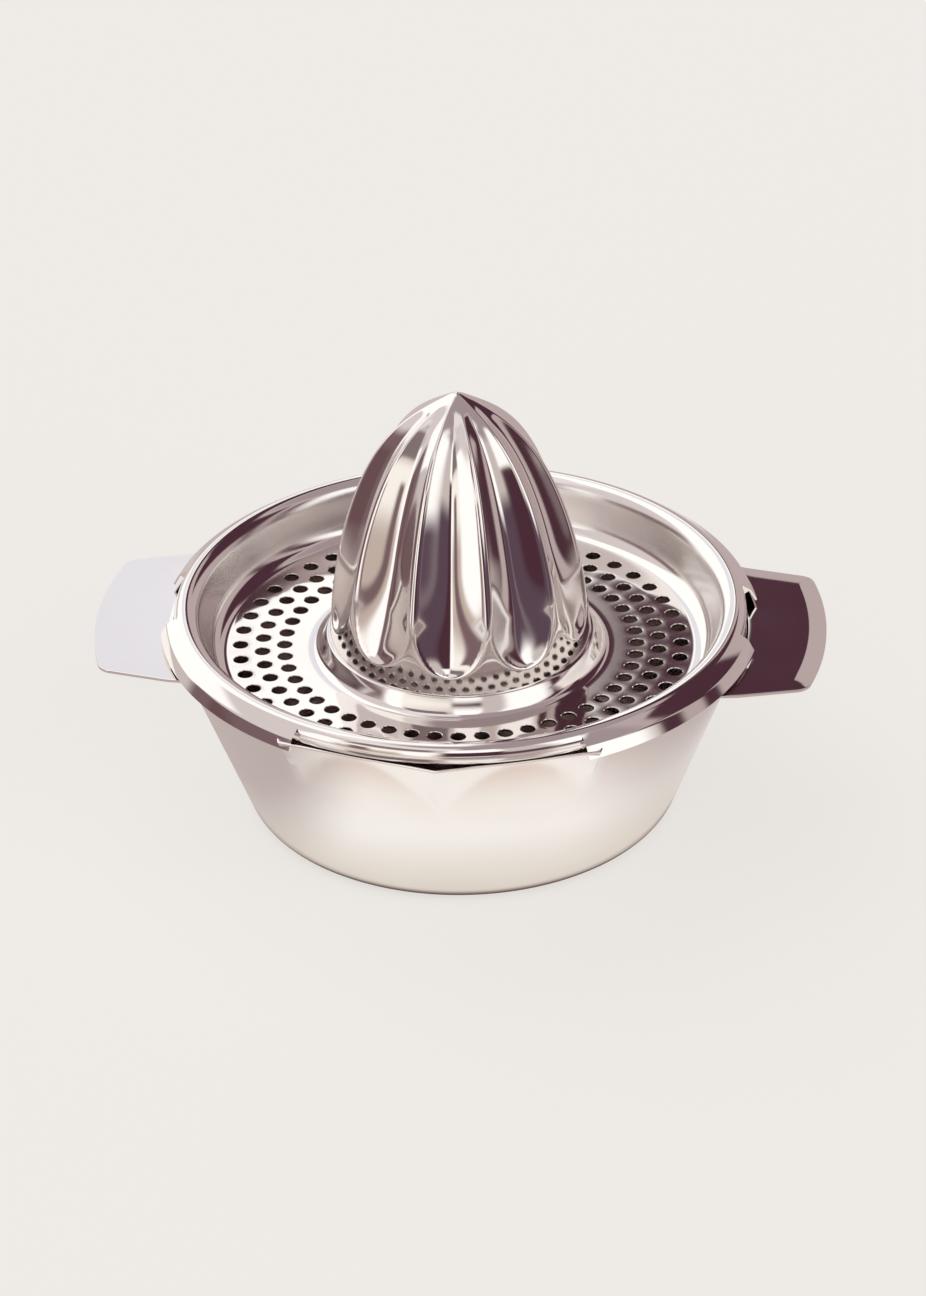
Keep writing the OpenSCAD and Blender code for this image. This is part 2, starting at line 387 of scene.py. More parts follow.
def buildBowl():
    half, beakHalf = bowl["notchHalf"], bowl["beakHalf"]
    angles = spread([
        half,
        (bowl["backColumns"], 180 - half),
        (bowl["earColumns"], 180 + half),
        (bowl["flankColumns"], beakAngle - beakHalf),
        (bowl["beakColumns"], beakAngle + beakHalf),
        (bowl["flankColumns"], 360 - half),
        (bowl["earColumns"], 360 + half),
    ])[:-1]
    count = len(angles)
    tiny = 1e-6
    notched = [abs(math.remainder(a, math.pi)) < math.radians(half) - tiny for a in angles]
    filletR = bowl["baseR"] - bowl["bottomRound"] * (1 - math.sin(wallLean)) / math.cos(wallLean)
    wallStart = bowl["bottomRound"] * (1 - math.sin(wallLean))
    levels = evenSteps(wallStart, bowl["waistZ"], bowl["rowsToWaist"])
    levels += evenSteps(bowl["waistZ"], bowl["notchZ"], bowl["rowsToNotch"])
    levels += evenSteps(bowl["notchZ"], bowl["rimZ"], bowl["rowsToRim"])
    bm = bmesh.new()

    def face(inset, thickness):
        rows = [[bm.verts.new(polar(filletR * share, a, thickness)) for a in angles]
                for share in bowl["bottomShares"]]
        radius = bowl["bottomRound"] - thickness
        for turn in evenSteps(-math.pi / 2, -wallLean, bowl["arcRows"]):
            rows.append([bm.verts.new(polar(filletR + radius * math.cos(turn), a,
                                            bowl["bottomRound"] + radius * math.sin(turn)))
                         for a in angles])
        for z in levels:
            rows.append([bm.verts.new(polar(bowlRadius(a, z, inset), a, z)) for a in angles])
        centre = bm.verts.new((0, 0, thickness * mm))
        for j in range(count):
            bm.faces.new((centre, rows[0][j], rows[0][(j + 1) % count]))
        return rows

    outer, inner = face(0, 0), face(wallW, bowl["sheet"])
    last = len(outer) - 1
    topNotch = last - bowl["rowsToRim"]
    lowered = [notched[j] or notched[(j + 1) % count] for j in range(count)]
    for j in range(count):
        k = (j + 1) % count
        top = topNotch if lowered[j] else last
        for rows in (outer, inner):
            for i in range(top):
                bm.faces.new((rows[i][j], rows[i][k], rows[i + 1][k], rows[i + 1][j]))
        bm.faces.new((outer[top][j], outer[top][k], inner[top][k], inner[top][j]))
        if lowered[j] != lowered[k]:
            for i in range(topNotch, last):
                bm.faces.new((outer[i][k], outer[i + 1][k], inner[i + 1][k], inner[i][k]))
    dropLooseVerts(bm)
    piece = finishedPiece("juiceBowl", bm)
    roundEdges(piece, bowl["edgeRound"])
    smoothShade(piece.data, bowl["sharpAngle"])
    piece.data.materials.append(satinSteel)
    return piece


def paintShadeInBowl():
    # painted shade: the inside of the bowl, under the strainer, is given a darker colour
    tree = satinSteel.node_tree
    nodes = NodeTools(tree)
    colour = tree.nodes["Principled BSDF"].inputs["Base Color"]
    steel = colour.links[0].from_socket
    place = nodes.objectPlace()
    height = nodes.add("ShaderNodeSeparateXYZ", {"Vector": place}).outputs["Z"]
    wall = nodes.calc("MULTIPLY_ADD", height, wallRun, (bowl["baseR"] - wallW / 2) * mm)
    within = nodes.calc("LESS_THAN", nodes.fromAxis(place), wall)
    above = nodes.calc("GREATER_THAN", height, bowl["sheet"] / 2 * mm)
    inside = nodes.calc("MULTIPLY", within, above)
    nodes.link(nodes.mixed(inside, steel, bowl["paintedShadeInside"]), colour)


paintShadeInBowl()
juiceBowl = buildBowl()
print("bowl:", len(juiceBowl.data.polygons), "faces")

# the two ears: lip in the wall, bend, and a flat plate with a sloping border

ear = {
    "reach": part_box("right_handle")[1].x / mm,
    "topZ": nodeTop("right_handle"),
    "lipZ": nodeBottom("right_handle"),
    "tipWidth": 55.2,
    "taper": math.radians(12.9),
    "corner": 4.5,
    "bend": 1.8,
    "border": 4.4,
    "borderDrop": 0.45,
    "borderSoft": 0.25,
    "borderStart": 6.0,
    "edgeRound": 0.2,
    "sharpAngle": math.radians(40),
    # mesh: rows along the ear, columns across its middle and over its border
    "bendRows": 8,
    "rowGap": 1.0,
    "tipRows": 12,
    "middleColumns": 14,
    "borderColumns": (0.06, 0.12, 0.4, 0.7, 0.9, 1),
    "widestBand": 0.6,
}


def earSideDistance():
    sideX = math.sqrt(ear["reach"] ** 2 - ear["tipWidth"] ** 2 / 4)
    return sideX * math.sin(ear["taper"]) + ear["tipWidth"] / 2 * math.cos(ear["taper"])


def buildEar(name, turn):
    sheet = bowl["sheet"]
    normal = math.pi / 2 - ear["taper"]
    side = earSideDistance()
    reach, corner = ear["reach"], ear["corner"]
    along = math.sqrt((reach - corner) ** 2 - (side - corner) ** 2)
    lean = normal - math.atan2(along, side - corner)
    cornerStart = math.hypot(along, side)

    def halfAngle(r):
        if r <= cornerStart:
            return normal - math.acos(side / r)
        hub = reach - corner
        return lean + math.acos(min(1, (r * r + hub * hub - corner * corner) / (2 * r * hub)))

    topFace = roundedPath([
        (wallRadius(ear["lipZ"]) - wallW, ear["lipZ"], 0),
        (wallRadius(ear["topZ"]) - wallW, ear["topZ"], ear["bend"]),
        (cornerStart, ear["topZ"], 0),
    ], ear["bendRows"])
    topFace = filledPath(topFace, ear["rowGap"])
    for share in evenSteps(0, 1, ear["tipRows"]):
        ease = 1 - (1 - share) ** 2
        topFace.append((cornerStart + (reach - cornerStart) * ease, ear["topZ"]))
    # three rows at the border's inner line
    border, borderSoft = ear["border"], ear["borderSoft"]
    borderLine = [(reach - border + shift, ear["topZ"]) for shift in (-borderSoft, 0, borderSoft)]
    topFace = [p for p in topFace if abs(p[0] - reach + border) > 2 * borderSoft] + borderLine
    plate = sorted(p for p in topFace if p[1] == ear["topZ"])
    topFace = [p for p in topFace if p[1] != ear["topZ"]] + plate
    underFace = shiftedPath(topFace, -sheet)
    middle = [0] + evenSteps(0, 1, ear["middleColumns"])
    bm = bmesh.new()

    def columnAngles(r):
        limit = halfAngle(min(r, reach))
        band = min((border + borderSoft) / r, ear["widestBand"] * limit)
        half = [c * (limit - band) for c in middle]
        half += [limit - band * (1 - c) for c in ear["borderColumns"]]
        return [-a for a in half[:0:-1]] + half

    def borderFall(edge):
        # straight slope, eased over a short stretch at its inner line
        inside = border - edge
        if inside <= -borderSoft:
            return 0
        if inside < borderSoft:
            return (inside + borderSoft) ** 2 / (4 * borderSoft)
        return inside

    def face(path):
        plateR = wallRadius(ear["topZ"])
        rows = []
        for r, z in path:
            row = []
            for a in columnAngles(r):
                x, y = r * math.cos(a), abs(r * math.sin(a))
                edge = min(side - x * math.cos(normal) - y * math.sin(normal), reach - r)
                inPlate = smoothStep(plateR, plateR + ear["borderStart"], r)
                drop = ear["borderDrop"] * borderFall(edge) / border * inPlate
                row.append(bm.verts.new(polar(r, a, z - drop)))
            rows.append(row)
        return rows

    top, under = face(topFace), face(underFace)
    for rows in (top, under):
        for lower, upper in zip(rows, rows[1:]):
            for j in range(len(lower) - 1):
                bm.faces.new((lower[j], lower[j + 1], upper[j + 1], upper[j]))
    for i in range(len(topFace) - 1):
        for j in (0, -1):
            bm.faces.new((top[i][j], top[i + 1][j], under[i + 1][j], under[i][j]))
    for j in range(len(top[0]) - 1):
        for i in (0, -1):
            bm.faces.new((top[i][j], top[i][j + 1], under[i][j + 1], under[i][j]))
    bmesh.ops.rotate(bm, verts=bm.verts, cent=(0, 0, 0), matrix=Matrix.Rotation(turn, 3, "Z"))
    piece = finishedPiece(name, bm)
    roundEdges(piece, ear["edgeRound"])
    smoothShade(piece.data, ear["sharpAngle"])
    piece.data.materials.append(mirrorSteel)
    return piece


rightHandle = buildEar("rightHandle", 0)
leftHandle = buildEar("leftHandle", math.pi)
print("ears:", len(rightHandle.data.polygons), "faces each")

# the tray: rolled rim, sloping wall, perforated floor, hub and four skirts

tray = {
    "sheet": 0.7,
    "crownZ": nodeTop("strainer_tray"),
    "depth": 13.2,
    "shoulderR": 71.8,
    "shoulderRound": 2.5,
    "beadW": 5.6,
    "beadRound": 3.9,
    "slope": math.radians(75.5),
    "floorRound": 5.0,
    "trimW": 0.25,
    "skirtTopZ": 53.9,
    "skirtBend": (73.9, 52.3),
    "skirtRound": 1.6,
    "skirtSheet": 0.5,
    "skirtR": 75.4,
    "skirtDrop": 2.5,
    "lipR": 73.2,
    "lipSheet": 0.35,
    "beakGapHalf": 28.8,
    "earGapHalf": 9.6,
    "holes": 48,
    "holeD": 3.8,
    "holeLip": 0.14,
    "holeDish": 0.01,
    "holeDishW": 0.42,
    "rings": 3,
    "ringPitch": 5.58,
    "ringMargin": 7.1,
    "hubRise": 4.5,
    "hubR": 33.7,
    "hubSlope": math.radians(61.5),
    "hubOpenR": 29.8,
    "hubRound": 0.5,
    "hubFootRound": 2.6,
    "seatRound": 0.2,
    "wallDull": 0.16,
    "wallEase": (0.5, 1.0),
    "sharpAngle": math.radians(38),
    # mesh: steps in each quarter, and how far outside the holes they stay even;
    # rows in arcs and on straight stretches, sides of a hole
    "earSteps": 5,
    "beakSteps": 15,
    "evenMargin": 1.0,
    "columnsPerHole": 4,
    "rimArcRows": 9,
    "rimRowGap": 1.6,
    "skirtArcRows": 6,
    "hubArcRows": 6,
    "hubRowGap": 2.0,
    "holeSides": 16,
}
floorZ = tray["crownZ"] - tray["depth"]
seatZ = bowl["rimZ"] + tray["sheet"]
hubZ = floorZ + tray["hubRise"]
beadInR = tray["shoulderR"] - tray["beadW"]
floorR = beadInR - tray["depth"] / math.tan(tray["slope"])
hubFootR = tray["hubR"] + (hubZ - floorZ) / math.tan(tray["hubSlope"])
ringRadii = [floorR - tray["ringMargin"] - tray["ringPitch"] * i for i in range(tray["rings"])]
plateOutR = ringRadii[0] + tray["ringPitch"] / 2
plateInR = ringRadii[-1] - tray["ringPitch"] / 2
around = tray["holes"] * tray["columnsPerHole"]


def rimAngle(step):
    # evenly stepped, with steps moved to the skirts' ends
    perQuarter = around // 4
    quarter, within = divmod(step, perQuarter)
    earSteps, beakSteps = tray["earSteps"], tray["beakSteps"]
    earGap, beakGap = tray["earGapHalf"], tray["beakGapHalf"]
    skirtSteps = perQuarter - earSteps - beakSteps
    mirrored = quarter % 2 == 1
    s = perQuarter - within if mirrored else within
    if s <= earSteps:
        a = earGap * s / earSteps
    elif s <= earSteps + skirtSteps:
        a = earGap + (90 - beakGap - earGap) * (s - earSteps) / skirtSteps
    else:
        a = 90 - beakGap * (perQuarter - s) / beakSteps
    return math.radians(quarter * 90 + (90 - a if mirrored else a))


def angleFromEar(step):
    after = rimAngle(step + 1) if step + 1 < around else 2 * math.pi
    return abs(math.degrees(math.remainder((rimAngle(step) + after) / 2, math.pi)))


def inBeakGap(step):
    return 90 - angleFromEar(step) < tray["beakGapHalf"]


def hasSkirt(step):
    return angleFromEar(step) > tray["earGapHalf"] and not inBeakGap(step)


def ringOf(bm, r, z, warp):
    verts = []
    for step in range(around):
        even = 2 * math.pi * step / around
        a = even + (rimAngle(step) - even) * warp
        verts.append(bm.verts.new(polar(r, a, z)))
    return verts


def bridgeRings(bm, rings, wanted=None):
    for lower, upper in zip(rings, rings[1:]):
        for j in range(around):
            if wanted is None or wanted[j]:
                k = (j + 1) % around
                bm.faces.new((lower[j], lower[k], upper[k], upper[j]))


def addRimAndWall(bm):
    shoulderR, crownZ = tray["shoulderR"], tray["crownZ"]
    path = roundedPath([
        (shoulderR + tray["trimW"], seatZ, 0),
        (shoulderR, seatZ, tray["seatRound"]),
        (shoulderR, crownZ, tray["shoulderRound"]),
        (beadInR, crownZ, tray["beadRound"]),
        (floorR, floorZ, tray["floorRound"]),
        (plateOutR, floorZ, 0),
    ], tray["rimArcRows"])
    path = filledPath(path, tray["rimRowGap"])
    under = shiftedPath(path, tray["sheet"])
    leave = next(i for i, (r, z) in enumerate(path) if z > tray["skirtTopZ"])
    skirted = [hasSkirt(j) for j in range(around)]
    top, low = [], []
    for rows, points in ((top, path), (low, under)):
        for r, z in points:
            warp = smoothStep(plateOutR + tray["evenMargin"], beadInR, r)
            rows.append(ringOf(bm, r, z, warp))
    bridgeRings(bm, top[:leave + 1], [not there for there in skirted])
    bridgeRings(bm, top[leave:])
    bridgeRings(bm, low)
    # skirts: they leave the shoulder part way up and flare out, only between the gaps
    skirtTop = roundedPath([path[leave] + (0,), tray["skirtBend"] + (tray["skirtRound"],),
                            (tray["skirtR"], seatZ - tray["skirtDrop"], 0)], tray["skirtArcRows"])
    skirtLow = shiftedPath(skirtTop, -tray["skirtSheet"])
    outline = skirtTop[1:] + skirtLow[:0:-1]
    loops = [top[leave]] + [ringOf(bm, r, z, 1) for r, z in outline] + [low[0]]
    bridgeRings(bm, loops, skirted)
    # the gaps at the beak and behind have a narrow lip over the bowl's rim
    lipped = [inBeakGap(j) for j in range(around)]
    lip = [ringOf(bm, tray["lipR"], z, 1) for z in (seatZ - tray["lipSheet"], seatZ)]
    bridgeRings(bm, [low[0]] + lip + [top[0]], lipped)
    for j in range(around):
        k = (j + 1) % around
        if not skirted[j] and not lipped[j]:
            bm.faces.new((top[0][j], top[0][k], low[0][k], low[0][j]))
        if skirted[j] != skirted[k]:
            edge = lip if lipped[j] or lipped[k] else []
            bm.faces.new([loop[k] for loop in loops + edge + top[:leave]])
    dropLooseVerts(bm)


def addHub(bm):
    path = roundedPath([(plateInR, floorZ, 0), (hubFootR, floorZ, tray["hubFootRound"]),
                        (tray["hubR"], hubZ, tray["hubRound"]), (tray["hubOpenR"], hubZ, 0)],
                       tray["hubArcRows"])
    path = filledPath(path, tray["hubRowGap"])
    under = shiftedPath(path, tray["sheet"])
    loops = [ringOf(bm, r, z, 0) for r, z in path + under[::-1]]
    bridgeRings(bm, loops)


def holeCell(ringR):
    # one hole with its share of the floor: rounded edge above, plain edge below
    bm = bmesh.new()
    sides = tray["holeSides"]
    half, pitch = math.pi / tray["holes"], tray["ringPitch"]
    radius, lip, dish = tray["holeD"] / 2, tray["holeLip"], tray["holeDish"]
    bottom = floorZ - tray["sheet"]
    perSide = sides // 4
    corners = ((1, -1), (1, 1), (-1, 1), (-1, -1), (1, -1))
    border = [(a[0] + (b[0] - a[0]) * i / perSide, a[1] + (b[1] - a[1]) * i / perSide)
              for a, b in zip(corners, corners[1:]) for i in range(perSide)]
    # the first point of the border faces the first point of the circles
    border = border[perSide // 2:] + border[:perSide // 2]

    def outline(z):
        return [bm.verts.new(polar(ringR + u * pitch / 2, v * half, z)) for u, v in border]

    def circle(r, z):
        return [bm.verts.new(Vector((ringR + r * math.cos(a), r * math.sin(a), z)) * mm)
                for a in (2 * math.pi * i / sides for i in range(sides))]

    loops = [
        outline(floorZ),
        circle(radius + tray["holeDishW"], floorZ - dish / 2),
        circle(radius + lip, floorZ - dish),
        circle(radius, floorZ - dish - lip),
        circle(radius, bottom),
        outline(bottom),
    ]
    for lower, upper in zip(loops, loops[1:]):
        for j in range(sides):
            k = (j + 1) % sides
            bm.faces.new((lower[j], lower[k], upper[k], upper[j]))
    bmesh.ops.recalc_face_normals(bm, faces=bm.faces)
    mesh = bpy.data.meshes.new("holeCell")
    bm.to_mesh(mesh)
    bm.free()
    return mesh


def newGeometryTree(name, inputs):
    tree = bpy.data.node_groups.new(name, "GeometryNodeTree")
    for socket, kind in inputs:
        tree.interface.new_socket(name=socket, in_out="INPUT", socket_type="NodeSocket" + kind)
    tree.interface.new_socket(name="Steel", in_out="INPUT", socket_type="NodeSocketMaterial")
    tree.interface.new_socket(name="Mesh", in_out="OUTPUT", socket_type="NodeSocketGeometry")
    return tree


def steelOutput(nodes, geometry, steel):
    real = nodes.add("GeometryNodeRealizeInstances", {"Geometry": geometry})
    coated = nodes.add("GeometryNodeSetMaterial", {"Geometry": real.outputs["Geometry"], "Material": steel})
    nodes.add("NodeGroupOutput", {"Mesh": coated.outputs["Geometry"]})


def perforationTree():
    # turns copies of one hole cell about the axis
    inputs = (("Cell", "Geometry"), ("Holes", "Int"), ("First turn", "Float"))
    tree = newGeometryTree("perforationRing", inputs)
    nodes = NodeTools(tree)
    given = nodes.add("NodeGroupInput").outputs
    points = nodes.add("GeometryNodeMeshLine", {"Offset": (0, 0, 0), "Count": given["Holes"]})
    step = nodes.calc("DIVIDE", 2 * math.pi, given["Holes"])
    index = nodes.add("GeometryNodeInputIndex").outputs["Index"]
    turn = nodes.calc("MULTIPLY_ADD", index, step, given["First turn"])
    spin = nodes.add("ShaderNodeCombineXYZ", {"Z": turn})
    copies = nodes.add("GeometryNodeInstanceOnPoints", {
        "Points": points.outputs["Mesh"],
        "Instance": given["Cell"],
        "Rotation": spin.outputs["Vector"],
    })
    steelOutput(nodes, copies.outputs["Instances"], given["Steel"])
    return tree


def treeInputs(tree):
    return {item.name: item.identifier for item in tree.interface.items_tree
            if item.item_type == "SOCKET" and item.in_out == "INPUT"}


def addPerforatedFloor(bm):
    tree = perforationTree()
    inputs = treeInputs(tree)
    for i, ringR in enumerate(ringRadii):
        ring = bpy.data.objects.new("perforationRing", holeCell(ringR))
        bpy.context.scene.collection.objects.link(ring)
        modifier = ring.modifiers.new("perforation", "NODES")
        modifier.node_group = tree
        modifier[inputs["Holes"]] = tray["holes"]
        modifier[inputs["First turn"]] = math.pi / tray["holes"] * ((i + 1) % 2)
        modifier[inputs["Steel"]] = mirrorSteel
        bakeModifiers(ring)
        bm.from_mesh(ring.data)
        mesh = ring.data
        bpy.data.objects.remove(ring)
        bpy.data.meshes.remove(mesh)


def buildTray():
    bm = bmesh.new()
    addRimAndWall(bm)
    addHub(bm)
    addPerforatedFloor(bm)
    piece = finishedPiece("strainerTray", bm)
    smoothShade(piece.data, tray["sharpAngle"])
    piece.data.materials.clear()  # puts the faces of the holes in the first slot too
    piece.data.materials.append(mirrorSteel)
    return piece


def dullTrayWall():
    # the sloping wall is less polished than the rest
    tree = mirrorSteel.node_tree
    nodes = NodeTools(tree)
    rough = tree.nodes["Principled BSDF"].inputs["Roughness"]
    polish = rough.links[0].from_socket
    outward = nodes.fromAxis(nodes.objectPlace())
    before, after = tray["wallEase"]
    for edge, dull in ((floorR, tray["wallDull"]), (beadInR, -tray["wallDull"])):
        passed = nodes.ramp(outward, (edge - before) * mm, (edge + after) * mm)
        polish = nodes.calc("MULTIPLY_ADD", passed, dull, polish)
    nodes.link(polish, rough)


dullTrayWall()
strainerTray = buildTray()
print("tray:", len(strainerTray.data.polygons), "faces,", tray["holes"] * tray["rings"], "holes")

# the fluted cone: one rule for its radius at every turn and height

cone = {
    "Foot height": hubZ * mm,
    "Tip height": nodeTop("reamer_cone") * mm,
    "Body radius": 32.6 * mm,
    "Taper": 1.84,
    "Fullness": 0.528,
    "Tip narrowing": 0.59,
    "Tip stretch": 14.0,
    "Flare": 0.4 * mm,
    "Flare height": 8.0 * mm,
    "Flutes": 10,
    "Flute foot": 4.8 * mm,
    "Flute share": 0.165,
    "Flute hollow": 0.7,
    "Shallow end": 0.6,
    "Shallow height": 26.0 * mm,
    "Fade start": 0.90,
    "Fade end": 1.0,
    "Ridge land": 0.06,
    "Scoop height": 12.5 * mm,
    "Scoop softness": 0.16,
    "Ridge softness": 0.06,
    "Crease softness": 0.03,
    "Least opening": 0.05,
    "Columns": 240,
    "Rings": 150,
    "Ring crowding": 0.75,
    "Weld": 0.01 * mm,
}
coneSharpAngle = math.radians(60)


def flutedConeTree():
    kinds = [(name, "Int" if isinstance(value, int) else "Float") for name, value in cone.items()]
    tree = newGeometryTree("flutedCone", kinds)
    nodes = NodeTools(tree)
    calc = nodes.calc
    size = nodes.add("NodeGroupInput").outputs

    # unit grid: x runs around the cone, y climbs it
    columns = calc("ADD", size["Columns"], 1)
    grid = nodes.add("GeometryNodeMeshGrid", {"Vertices X": columns, "Vertices Y": size["Rings"]})
    spot = nodes.add("GeometryNodeInputPosition").outputs["Position"]
    where = nodes.add("ShaderNodeSeparateXYZ", {"Vector": spot}).outputs
    turn = calc("ADD", where["X"], 0.5)
    climb = calc("ADD", where["Y"], 0.5)

    # rings lie closer near the foot and the tip
    wave = calc("SINE", calc("MULTIPLY", climb, 2 * math.pi))
    crowding = calc("DIVIDE", size["Ring crowding"], 2 * math.pi)
    u = calc("SUBTRACT", climb, calc("MULTIPLY", wave, crowding))
    above = calc("MULTIPLY", u, calc("SUBTRACT", size["Tip height"], size["Foot height"]))
    z = calc("ADD", above, size["Foot height"])

    def upTo(value, height):
        return calc("MINIMUM", calc("MAXIMUM", calc("DIVIDE", value, height), 0.0), 1.0)

    # outline of the ridges: a full rounded body with a narrow tip and a slight flare at its foot
    full = calc("MAXIMUM", calc("SUBTRACT", 1.0, calc("POWER", u, size["Taper"])), 0.0)
    body = calc("MULTIPLY", size["Body radius"], calc("POWER", full, size["Fullness"]))
    narrowing = calc("MULTIPLY", calc("POWER", u, size["Tip stretch"]), size["Tip narrowing"])
    body = calc("MULTIPLY", body, calc("SUBTRACT", 1.0, narrowing))
    near = calc("SUBTRACT", 1.0, upTo(above, size["Flare height"]))
    outline = calc("MULTIPLY_ADD", calc("MULTIPLY", near, near), size["Flare"], body)

    # flutes: deepest in the crease, hollow on both sides of it, with round lower ends
    across = calc("PINGPONG", calc("MULTIPLY", calc("MULTIPLY", turn, size["Flutes"]), 2.0), 1.0)
    soft = size["Crease softness"]
    across = calc("SQRT", calc("ADD", calc("MULTIPLY", across, across), calc("MULTIPLY", soft, soft)))
    across = calc("DIVIDE", across, calc("SUBTRACT", 1.0, size["Ridge land"]))
    fluteUp = calc("SUBTRACT", above, size["Flute foot"])
    left = calc("SUBTRACT", 1.0, upTo(fluteUp, size["Scoop height"]))
    opened = calc("SQRT", calc("SUBTRACT", 1.0, calc("MULTIPLY", left, left)))
    edge = calc("MULTIPLY_ADD", left, size["Scoop softness"], size["Ridge softness"])
    aside = calc("DIVIDE", across, calc("MAXIMUM", opened, size["Least opening"]))
    groove = calc("SMOOTH_MAX", calc("SUBTRACT", 1.0, aside), 0.0, edge)
    hollow = calc("MULTIPLY_ADD", calc("SUBTRACT", 1.0, groove), size["Flute hollow"], 1.0)
    shallow = nodes.ramp(fluteUp, 0.0, size["Shallow height"])
    shallow = calc("MULTIPLY_ADD", calc("SUBTRACT", 1.0, size["Shallow end"]), shallow, size["Shallow end"])
    fade = calc("SUBTRACT", 1.0, nodes.ramp(u, size["Fade start"], size["Fade end"]))
    depth = calc("MULTIPLY", calc("MULTIPLY", body, size["Flute share"]), calc("MULTIPLY", groove, hollow))
    depth = calc("MULTIPLY", calc("MULTIPLY", depth, opened), calc("MULTIPLY", shallow, fade))
    radius = calc("SUBTRACT", outline, depth)

    angle = calc("MULTIPLY_ADD", turn, 2 * math.pi, -math.pi / 2)
    place = nodes.add("ShaderNodeCombineXYZ", {
        "X": calc("MULTIPLY", radius, calc("COSINE", angle)),
        "Y": calc("MULTIPLY", radius, calc("SINE", angle)),
        "Z": z,
    })
    shaped = nodes.add("GeometryNodeSetPosition", {
        "Geometry": grid.outputs["Mesh"],
        "Position": place.outputs["Vector"],
    })
    merged = nodes.add("GeometryNodeMergeByDistance", {
        "Geometry": shaped.outputs["Geometry"],
        "Distance": size["Weld"],
    })
    steelOutput(nodes, merged.outputs["Geometry"], size["Steel"])
    return tree


def buildCone():
    tree = flutedConeTree()
    inputs = treeInputs(tree)
    piece = bpy.data.objects.new("reamerCone", bpy.data.meshes.new("reamerCone"))
    bpy.context.scene.collection.objects.link(piece)
    modifier = piece.modifiers.new("flutedCone", "NODES")
    modifier.node_group = tree
    for name, value in cone.items():
        modifier[inputs[name]] = value
    modifier[inputs["Steel"]] = mirrorSteel
    bakeModifiers(piece)
    # faces look outward before the sheet is thickened inward
    bm = bmesh.new()
    bm.from_mesh(piece.data)
    bmesh.ops.remove_doubles(bm, verts=bm.verts, dist=cone["Weld"])
    bmesh.ops.recalc_face_normals(bm, faces=bm.faces)
    if sum(f.normal.dot(f.calc_center_median() * Vector((1, 1, 0))) for f in bm.faces) < 0:
        bmesh.ops.reverse_faces(bm, faces=bm.faces)
    bm.to_mesh(piece.data)
    bm.free()
    wall = piece.modifiers.new("wall", "SOLIDIFY")
    wall.thickness = tray["sheet"] * mm
    wall.offset = -1
    bakeModifiers(piece)
    smoothShade(piece.data, coneSharpAngle)
    return piece


reamerCone = buildCone()
print("cone:", len(reamerCone.data.polygons), "faces,", cone["Flutes"], "flutes")

# every piece stands for its CAD node and moves with its body

for piece, node, body, slot in (
    (juiceBowl, "juice_bowl", "bowl", "satin_steel"),
    (leftHandle, "left_handle", "bowl", "polished_steel"),
    (rightHandle, "right_handle", "bowl", "polished_steel"),
    (strainerTray, "strainer_tray", "strainer", "polished_steel"),
    (reamerCone, "reamer_cone", "strainer", "polished_steel"),
):
    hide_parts(node)
    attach(piece, body)
print("pieces ride on their bodies")

# camera: far back with a long lens, a little to the right of the beak

view = {
    "turn": math.radians(5.0),
    "distance": 1085.5,
    "height": 688.4,
    "pitch": math.radians(30.84),
    "yaw": math.radians(0.03),
    "roll": math.radians(0.97),
    "lens": 138.9,
    "sensor": 36.0,
    "clipEnd": 50.0,
}


def placeCamera():
    data = bpy.data.cameras.new("camera")
    data.lens = view["lens"]
    data.sensor_width = view["sensor"]
    data.clip_end = view["clipEnd"]
    camera = bpy.data.objects.new("camera", data)
    bpy.context.scene.collection.objects.link(camera)
    turn = view["turn"] - view["yaw"]
    right = Vector((math.cos(turn), math.sin(turn), 0))
    level = Vector((-math.sin(turn), math.cos(turn), 0))
    forward = level * math.cos(view["pitch"]) - Vector((0, 0, 1)) * math.sin(view["pitch"])
    up = right.cross(forward)
    tiltedRight = right * math.cos(view["roll"]) - up * math.sin(view["roll"])
    tiltedUp = right * math.sin(view["roll"]) + up * math.cos(view["roll"])
    spot = Vector((math.sin(view["turn"]) * view["distance"],
                   -math.cos(view["turn"]) * view["distance"], view["height"])) * mm
    axes = Matrix((tiltedRight, tiltedUp, -forward)).transposed()
    camera.matrix_world = Matrix.Translation(spot) @ axes.to_4x4()
    bpy.context.scene.camera = camera


placeCamera()

# stage: pale floor, and a studio sky that the steel mirrors

